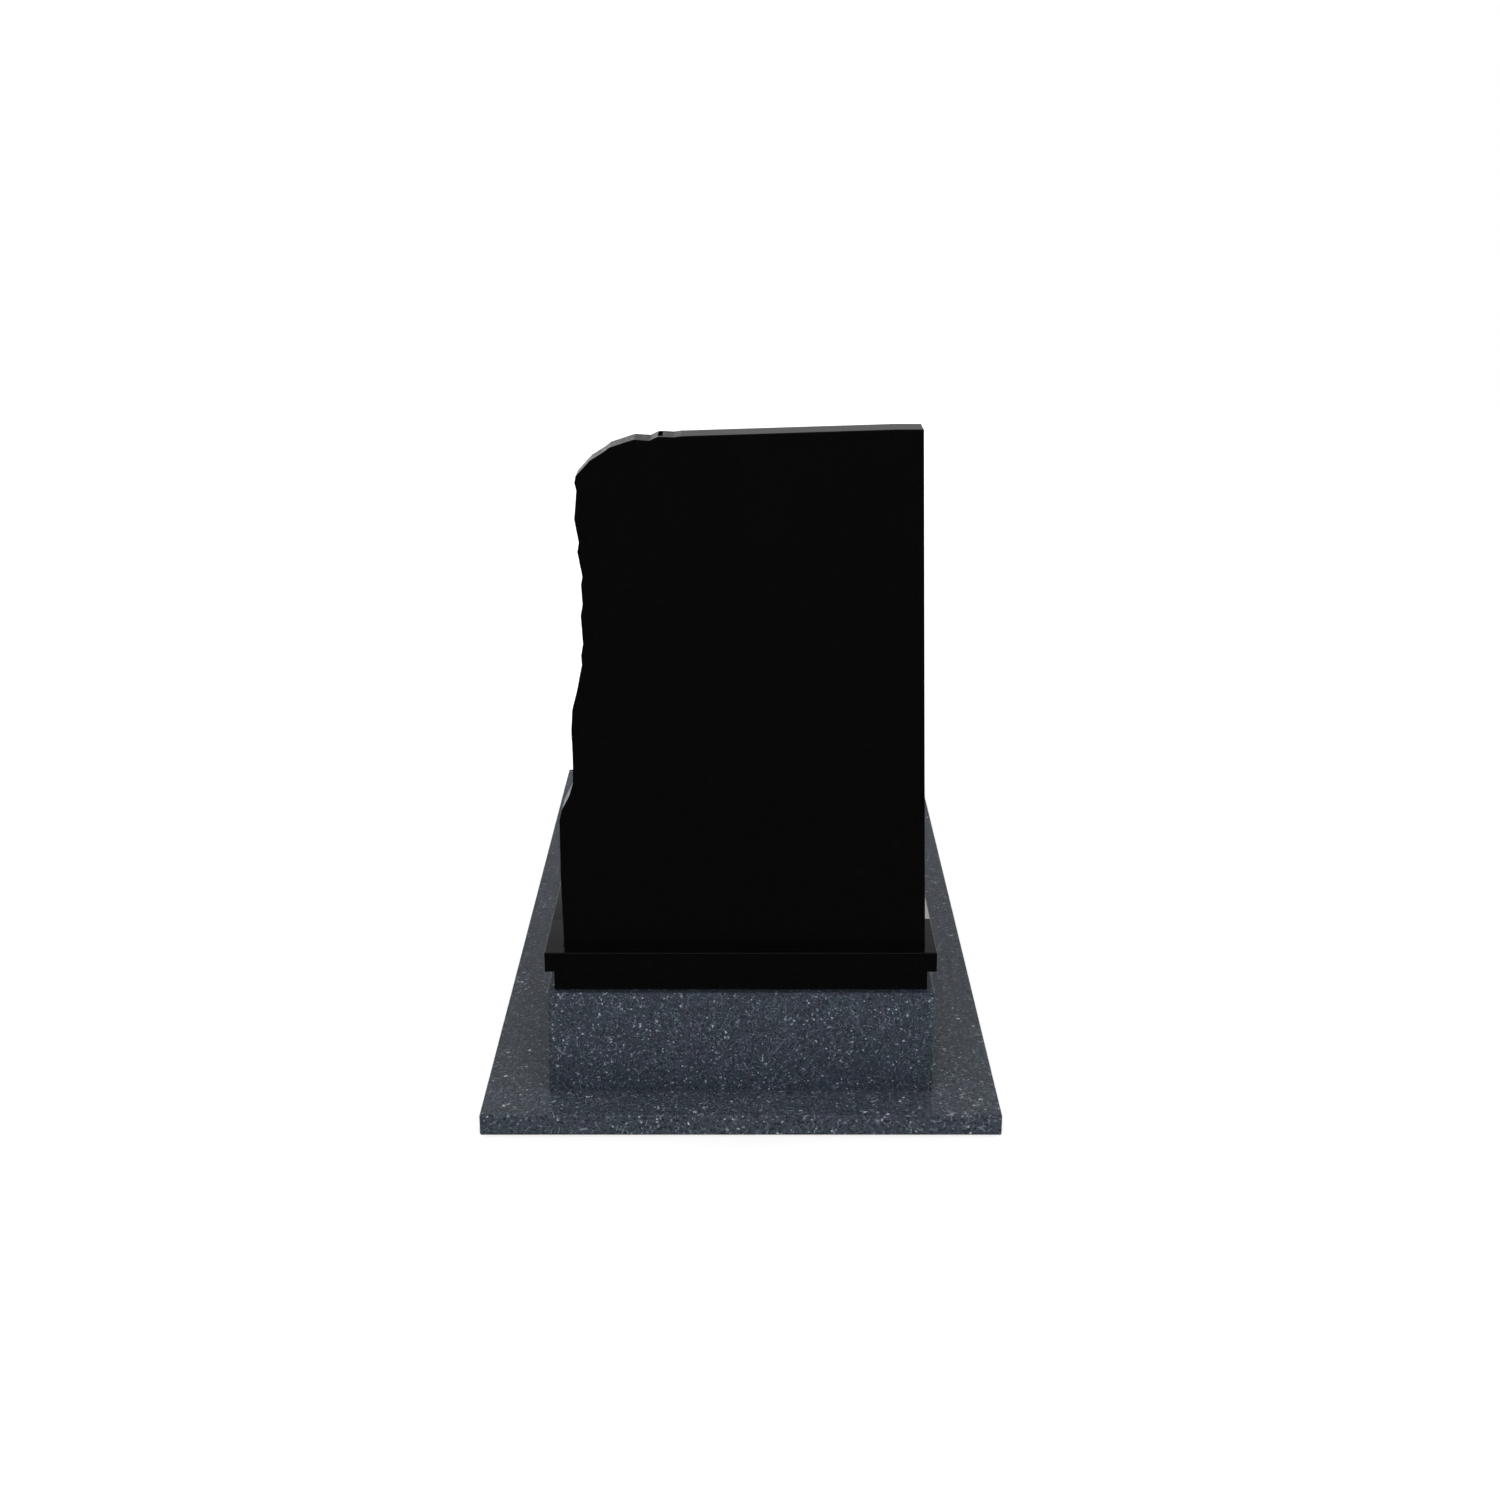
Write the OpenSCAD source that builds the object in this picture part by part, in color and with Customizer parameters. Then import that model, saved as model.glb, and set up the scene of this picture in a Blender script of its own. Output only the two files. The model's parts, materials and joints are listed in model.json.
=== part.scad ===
// Single grave memorial: a black headstone with one broken edge, standing on a black cap
// at the head of a low granite surround that is closed by a black cover slab.
// X runs across the grave, Y from the head to the foot, Z is up. The origin lies under the
// middle of the ground slab. All sizes are in millimetres.

/* [Ground slab] */
// Width of the ground slab, across the grave
slab_w = 1000; // [850:10:1300]
// Length of the ground slab, along the grave
slab_l = 2070; // [1600:10:2600]
// Thickness of the ground slab
slab_t = 42; // [30:1:80]

/* [Surround] */
// Bare strip of ground slab at the head and at the foot
end_margin = 100; // [40:5:200]
// Bare strip of ground slab along each long side
side_margin = 126; // [60:2:200]
// Height of the plinth block and the kerbs
kerb_h = 210; // [120:5:320]
// Thickness of the side kerbs and the foot kerb
kerb_t = 80; // [50:5:120]
// Depth of the plinth block, which ends level with the cap
plinth_d = 164; // [130:2:260]

/* [Recessed course] */
// Height of the recessed slab between the surround and the top slabs
neck_h = 45; // [20:1:80]
// How far the recessed slab stands back from the surround at the head and the foot
neck_inset = 16; // [6:1:30]
// How far it stands back along each long side
neck_side_inset = 14; // [6:1:30]

/* [Top slabs] */
// Thickness of the cap and the cover slab
top_t = 40; // [25:1:70]
// How far they stand out past the surround, all round
oversail = 2; // [0:0.5:15]

/* [Headstone] */
// Height of the headstone above the cap
stone_h = 996; // [700:5:1300]
// Thickness of the headstone
stone_t = 65; // [50:1:80]
// Distance from the cap's left end to the headstone's foot
stone_left = 36; // [10:1:60]
// Distance from the cap's right end to the headstone's foot
stone_right = 21; // [5:1:60]
// Distance from the cap's head edge to the face of the headstone
stone_setback = 32; // [15:1:45]
// How far the straight right edge leans in over the full height
stone_lean = 28; // [0:2:60]
// Level stretch of the top, next to the straight edge
top_level = 47; // [20:1:80]
// Fall of the top from the level stretch to the broken corner
top_fall = 12; // [4:1:40]

/* [Slot in the top] */
// Width of the slot that is sunk in the headstone's top
slot_w = 8; // [4:1:20]
// Depth of the slot
slot_d = 14; // [5:1:30]
// Stone left between the slot and the face at the head end
slot_near = 14; // [5:1:25]
// Stone left between the slot and the face towards the grave
slot_far = 2; // [2:1:20]
// Distance from the headstone's left foot corner to the slot
slot_left = 193; // [80:1:300]

/* [Edges] */
// Bevel along the edges of the polished black slabs
black_arris = 1; // [0.5:0.5:4]
// Bevel along the edges of the granite slabs
granite_arris = 2; // [0.5:0.5:5]

/* [Hidden] */

granite = "#3f464e";
black = "#101112";
spare = 1;  // how far a cutting shape runs past the stone it cuts

// plan of the surround, and the levels of the courses
surround_w = slab_w - 2 * side_margin;
surround_l = slab_l - 2 * end_margin;
head_y = -surround_l / 2;
foot_y = surround_l / 2;
cap_w = surround_w + 2 * oversail;
cap_d = plinth_d + oversail;
cap_y = head_y - oversail;
neck_z = slab_t + kerb_h;
top_z = neck_z + neck_h;
stone_z = top_z + top_t;

// the side kerbs fill the space between the plinth block and the foot kerb
side_kerb_l = surround_l - plinth_d - kerb_t;

// the broken left edge from the foot to the dressed top, as [distance in from the foot corner,
// height], laid out on a stone whose dressed top begins at a height of break_h
break_h = 984;
swell = [[0, 0], [-3, 140], [-2, 258]];
shoulder = [[3, 278], [12, 296], [18, 307], [25, 331]];
hollow = [[26, 361], [26, 397], [25, 436], [28, 476], [37, 510], [48, 562]];
flakes = [[47, 580], [51, 601], [48, 655], [52, 677], [50, 713], [53, 728],
          [45, 774], [48, 791], [41, 833], [46, 886], [43, 900]];
corner = [[45, 912], [71, 940], [95, 955], [107, 964], [150, 978], [178, 976]];
ledge = [[193, 983], [205, 983], [220, 982], [235, break_h]];

// the outline in place: X across the grave, height above the cap
foot_left = -cap_w / 2 + stone_left;
foot_right = cap_w / 2 - stone_right;
head_right = foot_right - stone_lean;
break_rise = (stone_h - top_fall) / break_h;
function placed(points) = [for (p = points) [foot_left + p[0], p[1] * break_rise]];
broken_side = placed(concat(swell, shoulder, hollow, flakes));
broken_top = placed(concat(corner, ledge));
fall_end = broken_top[len(broken_top) - 1];
fall_start = [head_right - top_level, stone_h];
foot_left_corner = [foot_left, 0];
foot_right_corner = [foot_right, 0];
head_right_corner = [head_right, stone_h];
function reversed(points) = [for (i = [len(points) - 1 : -1 : 0]) points[i]];

// A slab with its low corner at the origin and a bevel along all twelve edges
module dressed_slab(size, bevel) {
    intersection() {
        linear_extrude(size[2]) bevelled(size[0], size[1], bevel);
        translate([0, size[1], 0]) rotate([90, 0, 0])
            linear_extrude(size[1]) bevelled(size[0], size[2], bevel);
        rotate([90, 0, 90])
            linear_extrude(size[0]) bevelled(size[1], size[2], bevel);
    }
}

// A rectangle with its four corners cut off
module bevelled(w, h, b) {
    polygon([[b, 0], [w - b, 0], [w, b], [w, h - b], [w - b, h], [b, h], [0, h - b], [0, b]]);
}

// Cuts the bevel along one dressed edge of the headstone, on both of its faces. The edge
// runs from p to q with the stone on its left, and the cut starts lead before p and ends
// tail past q.
module edge_cut(p, q, lead, tail) {
    a = black_arris;
    run = norm(q - p);
    translate([p[0], 0, p[1]]) rotate([0, -atan2(q[1] - p[1], q[0] - p[0]), 0])
        translate([-lead, 0, 0]) rotate([90, 0, 90])
            linear_extrude(run + lead + tail) {
                polygon([[-spare, -spare], [a + spare, -spare], [-spare, a + spare]]);
                polygon([[stone_t + spare, -spare], [stone_t + spare, a + spare],
                         [stone_t - a - spare, -spare]]);
            }
}

module ground_slab() {
    color(granite) translate([-slab_w / 2, -slab_l / 2, 0])
        dressed_slab([slab_w, slab_l, slab_t], granite_arris);
}

// Carries the cap and the headstone
module plinth_block() {
    color(granite) translate([-surround_w / 2, head_y, slab_t])
        dressed_slab([surround_w, plinth_d, kerb_h], granite_arris);
}

module side_kerb(low_x) {
    color(granite) translate([low_x, head_y + plinth_d, slab_t])
        dressed_slab([kerb_t, side_kerb_l, kerb_h], granite_arris);
}

module left_kerb() {
    side_kerb(-surround_w / 2);
}

module right_kerb() {
    side_kerb(surround_w / 2 - kerb_t);
}

module foot_kerb() {
    color(granite) translate([-surround_w / 2, foot_y - kerb_t, slab_t])
        dressed_slab([surround_w, kerb_t, kerb_h], granite_arris);
}

// Closes the surround, and stands back to leave a shadow line all round
module neck_slab() {
    neck_w = surround_w - 2 * neck_side_inset;
    color(black) translate([-neck_w / 2, head_y + neck_inset, neck_z])
        dressed_slab([neck_w, surround_l - 2 * neck_inset, neck_h], black_arris);
}

module cap_slab() {
    color(black) translate([-cap_w / 2, cap_y, top_z])
        dressed_slab([cap_w, cap_d, top_t], black_arris);
}

module cover_slab() {
    color(black) translate([-cap_w / 2, cap_y + cap_d, top_z])
        dressed_slab([cap_w, surround_l + 2 * oversail - cap_d, top_t], black_arris);
}

// Upright slab: foot, right edge and top are dressed, the left edge is as it broke
module headstone() {
    a = black_arris;
    outline = concat(
        [[foot_right - a, 0], [foot_right, a], [head_right, stone_h - a], [head_right - a, stone_h]],
        [fall_start], reversed(broken_top), reversed(broken_side));
    slot_x = foot_left + slot_left;
    slot_top = lookup(slot_x + slot_w / 2, concat(broken_top, [fall_start, head_right_corner]));
    color(black) translate([0, cap_y + stone_setback, stone_z]) difference() {
        translate([0, stone_t, 0]) rotate([90, 0, 0])
            linear_extrude(stone_t) polygon(outline);
        edge_cut(foot_left_corner, foot_right_corner, spare, spare);
        edge_cut(foot_right_corner, head_right_corner, spare, spare);
        edge_cut(head_right_corner, fall_start, spare, spare);
        edge_cut(fall_start, fall_end, spare, -2 * a);
        translate([slot_x, slot_near, slot_top - slot_d])
            cube([slot_w, stone_t - slot_near - slot_far, 2 * slot_d]);
    }
}

ground_slab();
plinth_block();
left_kerb();
right_kerb();
foot_kerb();
neck_slab();
cap_slab();
cover_slab();
headstone();
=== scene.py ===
import json
import math
import bmesh
import bpy
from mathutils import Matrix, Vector

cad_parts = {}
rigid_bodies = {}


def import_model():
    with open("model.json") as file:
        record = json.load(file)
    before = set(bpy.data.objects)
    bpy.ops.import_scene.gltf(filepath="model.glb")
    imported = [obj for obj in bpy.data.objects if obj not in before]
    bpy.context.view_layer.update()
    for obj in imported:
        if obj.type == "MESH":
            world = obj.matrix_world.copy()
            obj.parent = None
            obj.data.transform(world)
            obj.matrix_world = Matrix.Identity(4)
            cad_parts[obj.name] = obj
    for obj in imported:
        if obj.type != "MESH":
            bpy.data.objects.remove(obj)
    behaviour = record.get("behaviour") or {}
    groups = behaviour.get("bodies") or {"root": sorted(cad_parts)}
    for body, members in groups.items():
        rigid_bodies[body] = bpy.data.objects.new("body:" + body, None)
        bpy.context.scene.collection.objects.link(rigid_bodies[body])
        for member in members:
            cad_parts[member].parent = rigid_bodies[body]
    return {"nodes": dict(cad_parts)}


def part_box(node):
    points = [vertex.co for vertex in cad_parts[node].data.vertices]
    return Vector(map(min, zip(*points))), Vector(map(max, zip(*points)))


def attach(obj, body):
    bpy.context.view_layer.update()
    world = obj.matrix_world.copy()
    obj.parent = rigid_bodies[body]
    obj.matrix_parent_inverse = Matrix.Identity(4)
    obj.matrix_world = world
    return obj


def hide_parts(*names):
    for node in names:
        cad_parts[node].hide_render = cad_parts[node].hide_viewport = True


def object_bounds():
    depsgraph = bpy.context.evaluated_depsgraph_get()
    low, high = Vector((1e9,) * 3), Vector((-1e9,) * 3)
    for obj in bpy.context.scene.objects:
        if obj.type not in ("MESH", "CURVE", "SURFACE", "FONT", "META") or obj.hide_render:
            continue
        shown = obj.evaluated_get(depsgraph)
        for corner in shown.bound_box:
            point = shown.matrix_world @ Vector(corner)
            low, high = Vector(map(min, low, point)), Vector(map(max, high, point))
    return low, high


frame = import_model()
cadLow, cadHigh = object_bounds()
scene = bpy.context.scene
print("frame loaded, object box", [round(v, 3) for v in cadLow], [round(v, 3) for v in cadHigh])

# eye level at the head end, a little right of the middle line
camera = {
    "lens": 49.45,            # mm
    "sensor": 36.0,           # mm
    "fromHeadEdge": 3.524,    # m outside the ground slab's head edge
    "eyeHeight": 1.929,       # m above the floor
    "sideStep": 0.0177,       # m to the right
    "pitch": 18.105,          # degrees below the horizon
    "clip": (0.05, 100.0),    # m, the nearest and the farthest that it sees
}


def placeCamera():
    lensData = bpy.data.cameras.new("headView")
    lensData.lens = camera["lens"]
    lensData.sensor_width = camera["sensor"]
    lensData.dof.use_dof = False
    lensData.clip_start, lensData.clip_end = camera["clip"]
    eye = bpy.data.objects.new("headView", lensData)
    scene.collection.objects.link(eye)
    eye.location = (camera["sideStep"], cadLow.y - camera["fromHeadEdge"], camera["eyeHeight"])
    eye.rotation_euler = (math.radians(90.0 - camera["pitch"]), 0.0, 0.0)
    scene.camera = eye


placeCamera()
print("camera placed")

randomMiddle = (0.5, 0.5, 0.5)    # the value that random colours lie around


# in these helpers a value is a number, a colour, a name or another node's socket

def grey(level):
    return (level, level, level, 1.0)


def addNode(tree, kind, **settings):
    node = tree.nodes.new(kind)
    for key, value in settings.items():
        setattr(node, key, value)
    return node


def addSockets(tree, direction, kind, names):
    for name in names:
        tree.interface.new_socket(name, in_out=direction, socket_type="NodeSocket" + kind)


def feed(tree, value, socket):
    if isinstance(value, bpy.types.NodeSocket):
        tree.links.new(value, socket)
    elif value is not None:
        socket.default_value = value


def setInputs(tree, node, values):
    for name, value in values.items():
        feed(tree, value, node.inputs[name])
    return node


def mathNode(tree, operation, first, second=None, third=None, clamp=False):
    node = addNode(tree, "ShaderNodeMath", operation=operation, use_clamp=clamp)
    for index, value in enumerate((first, second, third)):
        feed(tree, value, node.inputs[index])
    return node.outputs[0]


def vectorMath(tree, operation, first, second=None, scale=None):
    node = addNode(tree, "ShaderNodeVectorMath", operation=operation)
    # of a Vector Math node's sockets, 0 and 1 are the two vectors and 3 is the scale
    for index, value in ((0, first), (1, second), (3, scale)):
        feed(tree, value, node.inputs[index])
    return node.outputs["Value" if operation == "DOT_PRODUCT" else "Vector"]


def mixColours(tree, factor, first, second, blend="MIX"):
    node = addNode(tree, "ShaderNodeMix", data_type="RGBA", blend_type=blend)
    # of a Mix node's sockets, 0 is the factor and 6 and 7 are the two colours
    for index, value in ((0, factor), (6, first), (7, second)):
        feed(tree, value, node.inputs[index])
    return node.outputs[2]


def mapRange(tree, value, start, end, low=0.0, high=1.0):
    node = addNode(tree, "ShaderNodeMapRange", clamp=True)
    setInputs(tree, node, {
        "Value": value, "From Min": start, "From Max": end, "To Min": low, "To Max": high})
    return node.outputs["Result"]


def addNoise(tree, place, scale, detail, roughness):
    node = addNode(tree, "ShaderNodeTexNoise")
    return setInputs(tree, node, {
        "Vector": place, "Scale": scale, "Detail": detail, "Roughness": roughness})


def addCells(tree, place, scale):
    node = addNode(tree, "ShaderNodeTexVoronoi", feature="F1")
    return setInputs(tree, node, {"Vector": place, "Scale": scale})


# an even pale room, dimmer in what the polish mirrors
studio = {
    "ambient": 1.0,           # brightness of the room, for all but mirrored light
    "mirrored": (             # brightness of what the polish mirrors, by sine of its height
        (-0.30, 0.28),
        (-0.08, 0.50),
        (0.03, 0.42),
        (0.12, 0.26),
        (0.19, 0.29),
        (0.27, 0.74),
        (0.347, 0.78),
        (0.384, 0.20),
        (0.50, 0.14),
    ),
    "rampReach": 0.5,         # the ramp covers this much below the horizon and above it
    "pitGlow": 0.046,         # mirrored brightness below the horizon, on the head side
    "pitSide": (0.25, -0.35),    # the head side begins and is full at these Y of the direction
    "pitDepth": (0.0, -0.10),    # and the lower part at these Z
    "floorTone": 0.93,
    "floorRough": 0.9,
    "floorLift": 0.38,        # keeps the floor near white under the stones' soft shadow
    "floorSize": 16.0,
}
# each softbox lights one piece only, as a flagged studio lamp would
softboxes = {
    "groundSoftbox": {
        "lights": "groundStone",
        "mirrored": False,
        "place": (0.1, -2.4, 3.0),
        "aim": (0.0, -0.98, 0.042),
        "size": (1.5, 1.0),
        "power": 52.0,
        "tone": (1.0, 0.82, 0.62),
    },
    "footSoftbox": {
        "lights": "groundStone",
        "mirrored": False,
        "place": (0.0, 2.6, 2.4),
        "aim": (0.0, 0.75, 0.042),
        "size": (1.6, 1.0),
        "power": 20.0,
        "tone": (1.0, 1.0, 1.0),
    },
    "coverSoftbox": {
        "lights": "coverStone",
        "mirrored": True,
        "place": (1.22, 3.4, 1.80),
        "aim": (0.36, -0.74, 0.337),
        "size": (1.3, 0.9),
        "power": 7.4,
        "tone": (1.0, 1.0, 1.0),
    },
    "sideSoftbox": {
        "lights": "uprightStone",
        "mirrored": False,
        "place": (-3.6, -0.4, 1.8),
        "aim": (-0.1, -0.87, 1.1),
        "size": (2.0, 1.2),
        "power": 440.0,
        "tone": (1.0, 1.0, 1.0),
    },
}


def buildWorld():
    world = bpy.data.worlds.new("paleStudio")
    scene.world = world
    world.use_nodes = True
    tree = world.node_tree
    tree.nodes.clear()
    out = addNode(tree, "ShaderNodeOutputWorld")
    background = addNode(tree, "ShaderNodeBackground")
    rays = addNode(tree, "ShaderNodeLightPath")
    direction = addNode(tree, "ShaderNodeTexCoord")
    split = addNode(tree, "ShaderNodeSeparateXYZ")
    tree.links.new(direction.outputs["Generated"], split.inputs[0])
    reach = studio["rampReach"]
    glow = addNode(tree, "ShaderNodeValToRGB")
    feed(tree, mapRange(tree, split.outputs["Z"], -reach, reach), glow.inputs[0])
    stops = studio["mirrored"]
    while len(glow.color_ramp.elements) < len(stops):
        glow.color_ramp.elements.new(0.5)
    for element, (height, level) in zip(glow.color_ramp.elements, stops):
        element.position = (height + reach) / (2.0 * reach)
        element.color = grey(level)
    # on the head side nothing bright lies below the horizon
    headSide = mapRange(tree, split.outputs["Y"], *studio["pitSide"])
    below = mapRange(tree, split.outputs["Z"], *studio["pitDepth"])
    pit = mathNode(tree, "MULTIPLY", headSide, below)
    mirrored = mixColours(tree, pit, glow.outputs["Color"], grey(studio["pitGlow"]))
    shade = mixColours(tree, rays.outputs["Is Glossy Ray"], grey(studio["ambient"]), mirrored)
    tree.links.new(shade, background.inputs["Color"])
    tree.links.new(background.outputs[0], out.inputs[0])


def buildFloor():
    half = studio["floorSize"] / 2
    corners = [(-half, -half, 0), (half, -half, 0), (half, half, 0), (-half, half, 0)]
    mesh = bpy.data.meshes.new("floor")
    mesh.from_pydata(corners, [], [(0, 1, 2, 3)])
    floor = bpy.data.objects.new("floor", mesh)
    scene.collection.objects.link(floor)
    paint = bpy.data.materials.new("paleFloor")
    paint.use_nodes = True
    setInputs(paint.node_tree, paint.node_tree.nodes["Principled BSDF"], {
        "Base Color": grey(studio["floorTone"]),
        "Roughness": studio["floorRough"],
        "Specular IOR Level": 0.0,
        "Emission Color": grey(1.0),
        "Emission Strength": studio["floorLift"],
    })
    mesh.materials.append(paint)
    floor.visible_glossy = False


def placeSoftbox(name):
    box = softboxes[name]
    lamp = bpy.data.lights.new(name, "AREA")
    lamp.shape = "RECTANGLE"
    lamp.size, lamp.size_y = box["size"]
    lamp.energy = box["power"]
    lamp.color = box["tone"]
    stand = bpy.data.objects.new(name, lamp)
    scene.collection.objects.link(stand)
    stand.location = box["place"]
    stand.rotation_euler = (Vector(box["aim"]) - stand.location).to_track_quat("-Z", "Y").to_euler()
    stand.visible_camera = False
    stand.visible_glossy = box["mirrored"]
    flagged = bpy.data.collections.new(name + "Flag")
    flagged.objects.link(bpy.data.objects[box["lights"]])
    stand.light_linking.receiver_collection = flagged


buildWorld()
buildFloor()
scene.view_settings.view_transform = "Standard"
print("studio built")

# what all grains have in common
crystal = {
    "ripple": 1.6,            # bends of a grain's outline over its own spacing
    "rippleDetail": 2.0,
    "rippleRough": 0.6,
    "smallest": 0.4,          # sizes run from this share of the given one to 1 more
    "rimSharp": 9.0,          # how sharply a grain and the ends of a lath stop
    "sideSharp": 3.0,         # and the long sides of a lath
}


def startGroup(name, numbers):
    group = bpy.data.node_groups.new(name, "ShaderNodeTree")
    addSockets(group, "INPUT", "Vector", ("Position",))
    addSockets(group, "INPUT", "Float", numbers)
    addSockets(group, "OUTPUT", "Float", ("Mask", "Shade"))
    given = addNode(group, "NodeGroupInput").outputs
    result = addNode(group, "NodeGroupOutput").inputs
    return group, given, result


def pickCells(group, place, perMetre, share):
    # every cell has its own random red, green and blue, and red picks a share of them
    cells = addCells(group, place, perMetre).outputs
    pick = addNode(group, "ShaderNodeSeparateColor")
    group.links.new(cells["Color"], pick.inputs[0])
    chosen = mathNode(group, "LESS_THAN", pick.outputs["Red"], share)
    return cells, pick.outputs, chosen


def buildGrainGroup():
    # picks a share of the mineral grains of one size and gives each a ragged outline
    group, given, result = startGroup("mineralGrain", ("Grains per Metre", "Share", "Size", "Raggedness"))
    perMetre = given["Grains per Metre"]
    warp = addNoise(group, given["Position"], mathNode(group, "MULTIPLY", perMetre, crystal["ripple"]),
                    crystal["rippleDetail"], crystal["rippleRough"])
    offset = vectorMath(group, "SUBTRACT", warp.outputs["Color"], randomMiddle)
    reach = mathNode(group, "DIVIDE", given["Raggedness"], perMetre)
    moved = vectorMath(group, "ADD", given["Position"], vectorMath(group, "SCALE", offset, scale=reach))
    cells, pick, chosen = pickCells(group, moved, perMetre, given["Share"])
    ownSize = mathNode(group, "ADD", pick["Green"], crystal["smallest"])
    ownReach = mathNode(group, "MULTIPLY", given["Size"], ownSize)
    inside = mathNode(group, "SUBTRACT", ownReach, cells["Distance"])
    inside = mathNode(group, "MULTIPLY", inside, crystal["rimSharp"], clamp=True)
    group.links.new(mathNode(group, "MULTIPLY", chosen, inside), result["Mask"])
    group.links.new(pick["Blue"], result["Shade"])
    return group


def buildLathGroup():
    # thin flat crystals set at every angle, which the cut face shows as short strokes
    group, given, result = startGroup("feldsparLath", ("Laths per Metre", "Share", "Length", "Thickness"))
    perMetre = given["Laths per Metre"]
    cells, pick, chosen = pickCells(group, given["Position"], perMetre, given["Share"])
    # the direction that the flat side faces, even over the sphere
    turn = mathNode(group, "MULTIPLY", pick["Green"], 2.0 * math.pi)
    rise = mathNode(group, "MULTIPLY_ADD", pick["Blue"], 2.0, -1.0)
    level = mathNode(group, "SUBTRACT", 1.0, mathNode(group, "MULTIPLY", rise, rise))
    spread = mathNode(group, "SQRT", level)
    facing = setInputs(group, addNode(group, "ShaderNodeCombineXYZ"), {
        "X": mathNode(group, "MULTIPLY", mathNode(group, "COSINE", turn), spread),
        "Y": mathNode(group, "MULTIPLY", mathNode(group, "SINE", turn), spread),
        "Z": rise,
    })
    offset = vectorMath(group, "SUBTRACT", given["Position"], cells["Position"])
    depth = mathNode(group, "ABSOLUTE", vectorMath(group, "DOT_PRODUCT", offset, facing.outputs[0]))
    away = mathNode(group, "MULTIPLY", depth, perMetre)
    thin = mathNode(group, "SUBTRACT", 1.0, mathNode(group, "DIVIDE", away, given["Thickness"]))
    thin = mathNode(group, "MULTIPLY", thin, crystal["sideSharp"], clamp=True)
    ends = mathNode(group, "SUBTRACT", given["Length"], cells["Distance"])
    ends = mathNode(group, "MULTIPLY", ends, crystal["rimSharp"], clamp=True)
    mask = mathNode(group, "MULTIPLY", mathNode(group, "MULTIPLY", thin, ends), chosen)
    group.links.new(mask, result["Mask"])
    group.links.new(mathNode(group, "DIVIDE", pick["Red"], given["Share"]), result["Shade"])
    return group


grainGroup = buildGrainGroup()
lathGroup = buildLathGroup()


def placeMineral(tree, group, spot, numbers):
    # the numbers come in the order of the group's own inputs
    node = addNode(tree, "ShaderNodeGroup", node_tree=group)
    for socket, value in zip(node.inputs, (spot, *numbers)):
        feed(tree, value, socket)
    return node.outputs


def startFinish(name):
    finish = bpy.data.materials.new(name)
    finish.use_nodes = True
    tree = finish.node_tree
    spot = addNode(tree, "ShaderNodeTexCoord").outputs["Object"]
    return finish, tree, tree.nodes["Principled BSDF"], spot


def addBump(tree, shader, height, strength, distance):
    bump = setInputs(tree, addNode(tree, "ShaderNodeBump"), {
        "Strength": strength, "Distance": distance, "Height": height})
    tree.links.new(bump.outputs["Normal"], shader.inputs["Normal"])


# in the finishes, a cloud, drift or smear is a noise: scale, detail, roughness
speckled = {
    "dark": (0.0182, 0.0243, 0.0340, 1.0),
    "mid": (0.0438, 0.0580, 0.0800, 1.0),
    "mica": (0.0095, 0.0130, 0.0180, 1.0),
    "paleGrain": (0.135, 0.160, 0.196, 1.0),
    "fleck": (0.34, 0.38, 0.44, 1.0),
    "tealTint": (0.92, 1.04, 1.02, 1.0),
    "violetTint": (1.05, 0.98, 1.06, 1.0),
    "cloud": (210.0, 3.0, 0.65),     # the mottling that the grains lie in
    "cloudSpan": (0.32, 0.68),       # where it is darkest and where palest
    "drift": (26.0, 2.0, 0.5),       # the slow change from one tint to the other
    "driftSpan": (0.35, 0.65),
    # grains per metre, share of them, size, raggedness
    "micaGrain": (330.0, 0.20, 0.60, 0.9),
    "softGrain": (360.0, 0.15, 0.62, 1.3),
    "fineFleck": (290.0, 0.10, 0.44, 1.5),
    "coarseFleck": (165.0, 0.075, 0.36, 1.9),
    # laths per metre, share of them, length and half thickness as shares of their spacing
    "longLath": (95.0, 0.34, 0.62, 0.05),
    "shortLath": (150.0, 0.30, 0.60, 0.07),
    "surroundGrain": 1.0,            # grain size of the block and the kerbs
    "groundGrain": 1.45,             # and of the ground slab, which comes from a coarser bed
    "roughness": (0.32, 0.48),
    "bump": (0.25, 0.0004),          # strength and distance
}
# the pale minerals, lowest first: node group, colour, and a power: the higher, the fewer are bright
paleMinerals = {
    "softGrain": (grainGroup, "paleGrain", 1.0),
    "longLath": (lathGroup, "paleGrain", 0.8),
    "shortLath": (lathGroup, "paleGrain", 0.8),
    "fineFleck": (grainGroup, "fleck", 1.4),
    "coarseFleck": (grainGroup, "fleck", 1.2),
}


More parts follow.
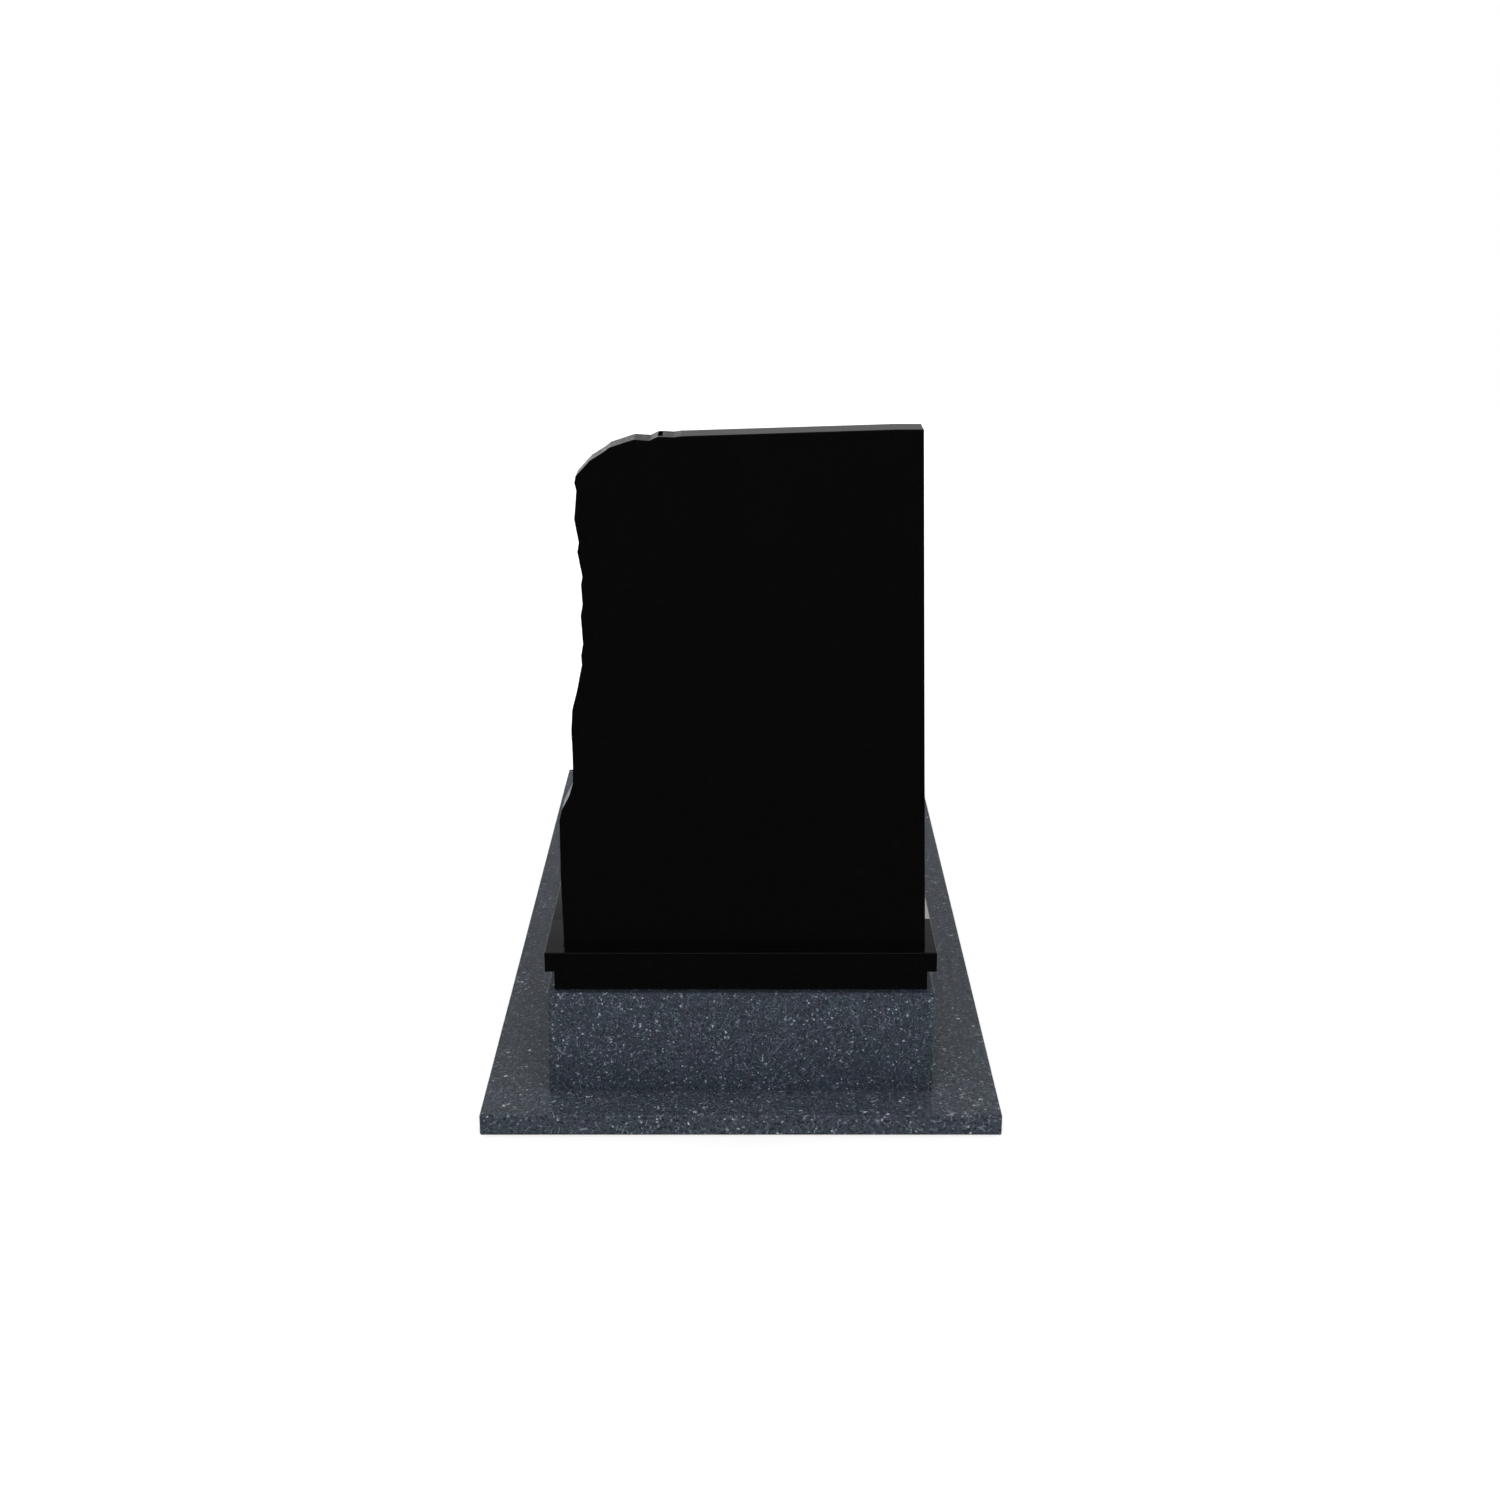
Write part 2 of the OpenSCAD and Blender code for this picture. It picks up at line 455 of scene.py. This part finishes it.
def speckledGranite(name, grainSize):
    finish, tree, shader, spot = startFinish(name)
    spot = vectorMath(tree, "SCALE", spot, scale=1.0 / grainSize)
    cloud = addNoise(tree, spot, *speckled["cloud"]).outputs["Fac"]
    mottle = mapRange(tree, cloud, *speckled["cloudSpan"])
    tone = mixColours(tree, mottle, speckled["dark"], speckled["mid"])
    mica = placeMineral(tree, grainGroup, spot, speckled["micaGrain"])
    tone = mixColours(tree, mica["Mask"], tone, speckled["mica"])
    for mineral, (group, colour, power) in paleMinerals.items():
        grain = placeMineral(tree, group, spot, speckled[mineral])
        ownShade = mathNode(tree, "POWER", grain["Shade"], power)
        strength = mathNode(tree, "MULTIPLY", grain["Mask"], ownShade)
        tone = mixColours(tree, strength, tone, speckled[colour])
    drift = addNoise(tree, spot, *speckled["drift"]).outputs["Fac"]
    swing = mapRange(tree, drift, *speckled["driftSpan"])
    tint = mixColours(tree, swing, speckled["tealTint"], speckled["violetTint"])
    feed(tree, mixColours(tree, 1.0, tone, tint, "MULTIPLY"), shader.inputs["Base Color"])
    feed(tree, mapRange(tree, cloud, 0.0, 1.0, *speckled["roughness"]), shader.inputs["Roughness"])
    addBump(tree, shader, cloud, *speckled["bump"])
    return finish


polished = {
    "body": (0.0006, 0.0006, 0.0006, 1.0),
    "crystal": (0.0035, 0.0035, 0.0038, 1.0),
    "crystalGrain": (420.0, 0.10, 0.45, 0.8),
    "cloud": (9.0, 5.0, 0.6),        # the slow change of the polish
    "cloudSpan": (0.3, 0.7),         # where it is best and where worst
    "ior": 1.5,
    "uprightRough": (0.08, 0.13),    # roughness at the best and at the worst
    "capRough": (0.06, 0.10),
    "coverRough": (0.03, 0.06),
}


def polishedBlack(name, roughness):
    finish, tree, shader, spot = startFinish(name)
    grain = placeMineral(tree, grainGroup, spot, polished["crystalGrain"])
    tone = mixColours(tree, grain["Mask"], polished["body"], polished["crystal"])
    feed(tree, tone, shader.inputs["Base Color"])
    cloud = addNoise(tree, spot, *polished["cloud"]).outputs["Fac"]
    feed(tree, mapRange(tree, cloud, *polished["cloudSpan"], *roughness), shader.inputs["Roughness"])
    shader.inputs["IOR"].default_value = polished["ior"]
    return finish


broken = {
    "dark": (0.038, 0.039, 0.040, 1.0),
    "pale": (0.096, 0.096, 0.099, 1.0),
    "spark": (0.24, 0.24, 0.25, 1.0),
    "sparkGrain": (480.0, 0.06, 0.5, 0.7),
    "cloud": (130.0, 8.0, 0.7),
    "cloudSpan": (0.36, 0.64),
    "roughness": 0.62,
    "bump": (0.5, 0.0012),
}


def brokenBlack():
    finish, tree, shader, spot = startFinish("brokenBlack")
    cloud = addNoise(tree, spot, *broken["cloud"]).outputs["Fac"]
    mottle = mapRange(tree, cloud, *broken["cloudSpan"])
    tone = mixColours(tree, mottle, broken["dark"], broken["pale"])
    spark = placeMineral(tree, grainGroup, spot, broken["sparkGrain"])
    feed(tree, mixColours(tree, spark["Mask"], tone, broken["spark"]), shader.inputs["Base Color"])
    shader.inputs["Roughness"].default_value = broken["roughness"]
    addBump(tree, shader, cloud, *broken["bump"])
    return finish


seal = {
    "greyTone": (0.040, 0.047, 0.058),
    "greyRough": 0.6,
    "blackTone": (0.0012, 0.0012, 0.0012),
    "blackRough": 0.5,
    "smear": (160.0, 3.0, 0.6),
    "smearPale": 1.5,         # how much paler it is where it is smeared
    "bump": (0.3, 0.0003),
}


def sealant(name, tone, roughness):
    # cured mastic: one colour, faintly smeared by the finger that drew it off
    finish, tree, shader, spot = startFinish(name)
    smear = addNoise(tree, spot, *seal["smear"]).outputs["Fac"]
    smeared = tuple(c * seal["smearPale"] for c in tone)
    feed(tree, mixColours(tree, smear, (*tone, 1.0), (*smeared, 1.0)), shader.inputs["Base Color"])
    shader.inputs["Roughness"].default_value = roughness
    addBump(tree, shader, smear, *seal["bump"])
    return finish


surroundGranite = speckledGranite("surroundGranite", speckled["surroundGrain"])
groundGranite = speckledGranite("groundGranite", speckled["groundGrain"])
blackUpright = polishedBlack("polishedUpright", polished["uprightRough"])
blackCap = polishedBlack("polishedCap", polished["capRough"])
blackCover = polishedBlack("polishedCover", polished["coverRough"])
fracture = brokenBlack()
greySeal = sealant("greySealant", seal["greyTone"], seal["greyRough"])
blackSeal = sealant("blackSealant", seal["blackTone"], seal["blackRough"])
print("finishes mixed")

weldDistance = 1e-5           # m, points nearer than this are one
cutDistance = 1e-6            # m, points nearer than this to a cut lie on it
flatAngle = 0.01              # radians, faces that differ by less are one


def cleanCopy(node):
    shape = bmesh.new()
    shape.from_mesh(frame["nodes"][node].data)
    bmesh.ops.remove_doubles(shape, verts=shape.verts, dist=weldDistance)
    bmesh.ops.dissolve_limit(shape, angle_limit=flatAngle, verts=shape.verts, edges=shape.edges)
    return shape


def meshObject(name, shape):
    mesh = bpy.data.meshes.new(name)
    shape.to_mesh(mesh)
    shape.free()
    thing = bpy.data.objects.new(name, mesh)
    scene.collection.objects.link(thing)
    return thing


def settle(thing):
    # swaps the modifiers for the plain mesh that they give
    graph = bpy.context.evaluated_depsgraph_get()
    result = bpy.data.meshes.new_from_object(thing.evaluated_get(graph))
    result.name = thing.name
    thing.modifiers.clear()
    thing.data = result


def finishPiece(piece, node):
    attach(piece, "root")
    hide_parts(node)


arris = {
    "graniteRound": 0.0007,   # radius that takes the sharpness off each bevel edge
    "blackRound": 0.0005,
    "segments": 3,
    "angle": 30.0,            # degrees past which an edge is rounded
}
slabs = {
    "ground_slab": ("groundStone", groundGranite, "speckled_granite"),
    "plinth_block": ("plinthStone", surroundGranite, "speckled_granite"),
    "left_kerb": ("leftKerbStone", surroundGranite, "speckled_granite"),
    "right_kerb": ("rightKerbStone", surroundGranite, "speckled_granite"),
    "foot_kerb": ("footKerbStone", surroundGranite, "speckled_granite"),
    "neck_slab": ("neckStone", blackUpright, "black_granite"),
    "cap_slab": ("capStone", blackCap, "black_granite"),
    "cover_slab": ("coverStone", blackCover, "black_granite"),
}


def layDressedSlab(node, name, finish, slot):
    piece = meshObject(name, cleanCopy(node))
    piece.data.materials.append(finish)
    bevel = piece.modifiers.new("arris", "BEVEL")
    bevel.limit_method = "ANGLE"
    bevel.angle_limit = math.radians(arris["angle"])
    bevel.width = arris["graniteRound"] if slot == "speckled_granite" else arris["blackRound"]
    bevel.segments = arris["segments"]
    settle(piece)
    finishPiece(piece, node)


for node, (name, finish, slot) in slabs.items():
    layDressedSlab(node, name, finish, slot)
for name in ("groundSoftbox", "footSoftbox", "coverSoftbox"):
    placeSoftbox(name)
print("dressed slabs laid")

upright = {
    "cell": 0.0025,           # mesh size on the broken faces
    "facetsPerMetre": 46.0,   # the flat places that flakes left behind
    "facetTilt": 0.42,        # how steeply they lean
    "facetStep": 0.0014,      # how much they differ in height
    "gritDepth": 0.0009,
    "gritPerMetre": 190.0,
    "gritDetail": 4.0,
    "gritRough": 0.65,
    "inset": 0.0011,          # how far the middle of the relief lies inside the flat facet
    "most": 0.0028,           # no point lies deeper than this, and none stands proud
    "seed": 7,
    "calmBand": 0.006,        # the relief dies out this near to dressed faces
    "rimBand": 0.016,         # the relief weakens this near to the two polished faces
    "rimShare": 0.08,         # and this much of it is left at their edges
    "topCalm": 0.75,          # how much weaker it is where the break lies level
    "ridgeAngle": 28.0,       # degrees past which an edge stays crisp
}
# parts of a face's normal that tell which way it looks
levelNormal = 0.9             # Z of a face that lies level
risingNormal = 0.5            # Z past which a broken face leans enough to be cut along X too
throughNormal = 0.01          # most Y of a face that runs straight through the stone


def markBrokenFaces(shape, low, high):
    # broken faces run through the whole thickness, left of the dressed top
    dressedTop = max((f for f in shape.faces if f.normal.z > levelNormal), key=lambda f: f.calc_area())
    breakEnd = min(v.co.x for v in dressedTop.verts)
    mark = shape.faces.layers.int.new("brokenFace")
    for face in shape.faces:
        depths = [v.co.y for v in face.verts]
        through = min(depths) < low.y + weldDistance and max(depths) > high.y - weldDistance
        leftPart = face.calc_center_median().x < breakEnd and face.normal.z > -levelNormal
        face[mark] = int(through and leftPart and abs(face.normal.y) < throughNormal)
    return mark, breakEnd


def gridBrokenFaces(shape, low, high, mark, breakEnd):
    # cuts them into cells small enough for the relief
    def cut(place, direction, wanted):
        faces = [f for f in shape.faces if f[mark] and wanted(f)]
        parts = dict.fromkeys(part for f in faces for part in (f, *f.edges, *f.verts))
        bmesh.ops.bisect_plane(
            shape, geom=list(parts), dist=cutDistance, plane_co=place, plane_no=direction)

    def steps(start, end):
        count = max(1, round((end - start) / upright["cell"]))
        return [start + (end - start) * i / count for i in range(1, count)]

    def crosses(face, axis, value):
        places = [v.co[axis] for v in face.verts]
        return min(places) < value < max(places)

    for z in steps(low.z, high.z):
        cut((0, 0, z), (0, 0, 1), lambda f: crosses(f, 2, z))
    for x in steps(low.x, breakEnd):
        cut((x, 0, 0), (1, 0, 0), lambda f: f.normal.z > risingNormal and crosses(f, 0, x))
    for y in steps(low.y, high.y):
        cut((0, y, 0), (0, 1, 0), lambda f: True)


def roundDressedEdges(shape, mark):
    # the dressed arrises are softened like those of the slabs
    def isDressed(edge):
        sharp = len(edge.link_faces) == 2 and edge.calc_face_angle() > math.radians(arris["angle"])
        return sharp and not any(f[mark] for v in edge.verts for f in v.link_faces)

    edges = [e for e in shape.edges if isDressed(e)]
    bmesh.ops.bevel(shape, geom=edges, offset=arris["blackRound"], segments=arris["segments"],
                    profile=0.5, affect="EDGES", clamp_overlap=True)


def weighRelief(shape, low, high, mark, breakEnd):
    # how strongly the relief acts on each point
    force = shape.verts.layers.float.new("broken")
    for vert in shape.verts:
        scars = [f for f in vert.link_faces if f[mark]]
        if not scars:
            continue
        upward = max(0.0, max(f.normal.z for f in scars))
        footCalm = (vert.co.z - low.z) / upright["calmBand"]
        endCalm = (breakEnd - vert.co.x) / upright["calmBand"]
        depth = min(vert.co.y - low.y, high.y - vert.co.y)
        rim = min(1.0, depth / upright["rimBand"])
        inner = upright["rimShare"] + (1.0 - upright["rimShare"]) * rim
        calm = 1.0 - upright["topCalm"] * upward
        vert[force] = max(0.0, min(1.0, footCalm, endCalm)) * inner * calm


# the relief's own inputs and what they are set to
reliefSizes = {
    "Facets per Metre": upright["facetsPerMetre"],
    "Facet Tilt": upright["facetTilt"],
    "Facet Step": upright["facetStep"],
    "Grit per Metre": upright["gritPerMetre"],
    "Grit Depth": upright["gritDepth"],
    "Inset": upright["inset"],
    "Most": upright["most"],
}


def startTree(name, inputs):
    # inputs are pairs: the kind of socket and the names of those of that kind
    tree = bpy.data.node_groups.new(name, "GeometryNodeTree")
    addSockets(tree, "INPUT", "Geometry", ("Geometry",))
    for kind, names in inputs:
        addSockets(tree, "INPUT", kind, names)
    addSockets(tree, "OUTPUT", "Geometry", ("Geometry",))
    given = addNode(tree, "NodeGroupInput").outputs
    result = addNode(tree, "NodeGroupOutput").inputs
    return tree, given, result


def readAttribute(tree, name, kind):
    node = addNode(tree, "GeometryNodeInputNamedAttribute", data_type=kind)
    node.inputs["Name"].default_value = name
    return node.outputs["Attribute"]


def fractureTree():
    tree, given, result = startTree("fractureRelief", (
        ("Float", reliefSizes), ("Int", ("Seed",)), ("Material", ("Dressed", "Fracture"))))
    force = readAttribute(tree, "broken", "FLOAT")
    # the relief moves points across the edge only, so that both polished faces stay flat
    normal = addNode(tree, "GeometryNodeInputNormal").outputs[0]
    flat = vectorMath(tree, "MULTIPLY", normal, (1.0, 0.0, 1.0))
    outward = vectorMath(tree, "NORMALIZE", flat)
    # every cell is one flake scar with its own lean and height
    position = addNode(tree, "GeometryNodeInputPosition").outputs[0]
    seeded = vectorMath(tree, "ADD", position, given["Seed"])
    scars = addCells(tree, seeded, given["Facets per Metre"]).outputs
    lean = vectorMath(tree, "SUBTRACT", scars["Color"], randomMiddle)
    across = vectorMath(tree, "SUBTRACT", seeded, scars["Position"])
    slope = vectorMath(tree, "DOT_PRODUCT", lean, across)
    tilted = mathNode(tree, "MULTIPLY", slope, mathNode(tree, "MULTIPLY", given["Facet Tilt"], 2.0))
    height = addNode(tree, "ShaderNodeSeparateXYZ")
    tree.links.new(lean, height.inputs[0])
    stepped = mathNode(tree, "MULTIPLY", height.outputs["X"], given["Facet Step"])
    grit = addNoise(tree, seeded, given["Grit per Metre"], upright["gritDetail"], upright["gritRough"])
    swing = mathNode(tree, "SUBTRACT", grit.outputs["Fac"], 0.5)
    rough = mathNode(tree, "MULTIPLY", swing, given["Grit Depth"])
    relief = mathNode(tree, "ADD", mathNode(tree, "ADD", tilted, stepped), rough)
    # it stays between the flat facet and its greatest depth
    relief = mathNode(tree, "MINIMUM", mathNode(tree, "SUBTRACT", relief, given["Inset"]), 0.0)
    relief = mathNode(tree, "MAXIMUM", relief, mathNode(tree, "MULTIPLY", given["Most"], -1.0))
    carve = setInputs(tree, addNode(tree, "GeometryNodeSetPosition"), {
        "Geometry": given["Geometry"],
        "Offset": vectorMath(tree, "SCALE", outward, scale=mathNode(tree, "MULTIPLY", relief, force)),
    })
    realize = addNode(tree, "GeometryNodeRealizeInstances")
    tree.links.new(carve.outputs[0], realize.inputs[0])
    isBroken = addNode(tree, "FunctionNodeCompare", data_type="INT", operation="GREATER_THAN")
    tree.links.new(readAttribute(tree, "brokenFace", "INT"), isBroken.inputs["A"])
    last = realize.outputs[0]
    for name, chosen in (("Dressed", None), ("Fracture", isBroken.outputs[0])):
        paint = setInputs(tree, addNode(tree, "GeometryNodeSetMaterial"), {
            "Geometry": last, "Material": given[name], "Selection": chosen})
        last = paint.outputs[0]
    tree.links.new(last, result[0])
    return tree


def applyTree(thing, tree, values):
    modifier = thing.modifiers.new(tree.name, "NODES")
    modifier.node_group = tree
    for item in tree.interface.items_tree:
        if item.in_out == "INPUT" and item.name in values:
            modifier[item.identifier] = values[item.name]
    settle(thing)


def raiseUpright():
    low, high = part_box("headstone")
    shape = cleanCopy("headstone")
    mark, breakEnd = markBrokenFaces(shape, low, high)
    gridBrokenFaces(shape, low, high, mark, breakEnd)
    roundDressedEdges(shape, mark)
    weighRelief(shape, low, high, mark, breakEnd)
    piece = meshObject("uprightStone", shape)
    applyTree(piece, fractureTree(), {
        **reliefSizes, "Seed": upright["seed"], "Dressed": blackUpright, "Fracture": fracture})
    # only the broken faces are shaded smooth, between their ridges
    mesh = piece.data
    mesh.shade_smooth()
    mesh.set_sharp_from_angle(angle=math.radians(upright["ridgeAngle"]))
    for face in mesh.polygons:
        face.use_smooth = mesh.materials[face.material_index].name == fracture.name
    finishPiece(piece, "headstone")


raiseUpright()
placeSoftbox("sideSoftbox")
print("headstone raised")

sealBead = {
    "greyRadius": 0.0014,     # the granite slabs have the wider bevels
    "greyTuck": 0.0012,       # how far the middle of a bead lies inside the corner that it fills
    "blackRadius": 0.0008,
    "blackTuck": 0.0009,
    "sides": 8,
    "step": 0.012,            # spacing of the rings along a bead
    "unevenness": 0.12,       # share by which the radius wanders
    "wander": (40.0, 1.0, 0.5),    # the noise that it wanders by: scale, detail, roughness
}


def beadTree():
    tree, given, result = startTree("sealBead", (
        ("Float", ("Radius", "Step", "Unevenness")), ("Int", ("Sides",)), ("Material", ("Material",))))
    line = addNode(tree, "GeometryNodeMeshToCurve")
    tree.links.new(given["Geometry"], line.inputs["Mesh"])
    rings = setInputs(tree, addNode(tree, "GeometryNodeResampleCurve", mode="LENGTH"), {
        "Curve": line.outputs[0], "Length": given["Step"]})
    ripple = addNoise(tree, None, *sealBead["wander"]).outputs["Fac"]
    swing = mathNode(tree, "MULTIPLY", mathNode(tree, "SUBTRACT", ripple, 0.5), 2.0)
    wander = mathNode(tree, "ADD", mathNode(tree, "MULTIPLY", swing, given["Unevenness"]), 1.0)
    thick = setInputs(tree, addNode(tree, "GeometryNodeSetCurveRadius"), {
        "Curve": rings.outputs[0], "Radius": mathNode(tree, "MULTIPLY", wander, given["Radius"])})
    circle = setInputs(tree, addNode(tree, "GeometryNodeCurvePrimitiveCircle"), {
        "Radius": 1.0, "Resolution": given["Sides"]})
    tube = setInputs(tree, addNode(tree, "GeometryNodeCurveToMesh"), {
        "Curve": thick.outputs[0],
        "Profile Curve": circle.outputs["Curve"],
        "Scale": addNode(tree, "GeometryNodeInputRadius").outputs[0],
        "Fill Caps": True,
    })
    realize = addNode(tree, "GeometryNodeRealizeInstances")
    tree.links.new(tube.outputs[0], realize.inputs[0])
    paint = setInputs(tree, addNode(tree, "GeometryNodeSetMaterial"), {
        "Geometry": realize.outputs[0], "Material": given["Material"]})
    tree.links.new(paint.outputs[0], result[0])
    return tree


def ringRoute(low, high, z, inset):
    x0, x1, y0, y1 = low.x + inset, high.x - inset, low.y + inset, high.y - inset
    return [(x0, y0, z), (x1, y0, z), (x1, y1, z), (x0, y1, z)], True


def acrossRoute(low, high, y, bottom, top, depth):
    # up one side, over the top and down the other, in the groove between two slabs
    x0, x1, z = low.x + depth, high.x - depth, top - depth
    return [(x0, y, bottom), (x0, y, z), (x1, y, z), (x1, y, bottom)], False


def runBeads(name, routes, radius, finish):
    shape = bmesh.new()
    for places, closed in routes:
        verts = [shape.verts.new(p) for p in places]
        for a, b in zip(verts, verts[1:] + verts[:1] if closed else verts[1:]):
            shape.edges.new((a, b))
    piece = meshObject(name, shape)
    applyTree(piece, beads, {
        "Radius": radius, "Step": sealBead["step"], "Unevenness": sealBead["unevenness"],
        "Sides": sealBead["sides"], "Material": finish})
    piece.data.shade_smooth()
    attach(piece, "root")


def sealJoints():
    greyTuck, blackTuck = sealBead["greyTuck"], sealBead["blackTuck"]
    ground, block, foot = (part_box(n) for n in ("ground_slab", "plinth_block", "foot_kerb"))
    neck, cap, stone = (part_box(n) for n in ("neck_slab", "cap_slab", "headstone"))
    kerbLow, kerbHigh = block[0], foot[1]
    kerbFoot = ground[1].z + greyTuck
    runBeads("greySeal", [
        ringRoute(kerbLow, kerbHigh, kerbFoot, greyTuck),
        acrossRoute(kerbLow, kerbHigh, block[1].y, kerbFoot + greyTuck, kerbHigh.z, greyTuck),
        acrossRoute(kerbLow, kerbHigh, foot[0].y, kerbFoot + greyTuck, kerbHigh.z, greyTuck),
    ], sealBead["greyRadius"], greySeal)
    runBeads("blackSeal", [
        ringRoute(neck[0], neck[1], neck[0].z + blackTuck, blackTuck),
        ringRoute(neck[0], neck[1], neck[1].z - blackTuck, blackTuck),
        ringRoute(stone[0], stone[1], stone[0].z + blackTuck, blackTuck),
        acrossRoute(cap[0], cap[1], cap[1].y, cap[0].z, cap[1].z, blackTuck),
    ], sealBead["blackRadius"], blackSeal)


beads = beadTree()
sealJoints()
print("joints sealed")
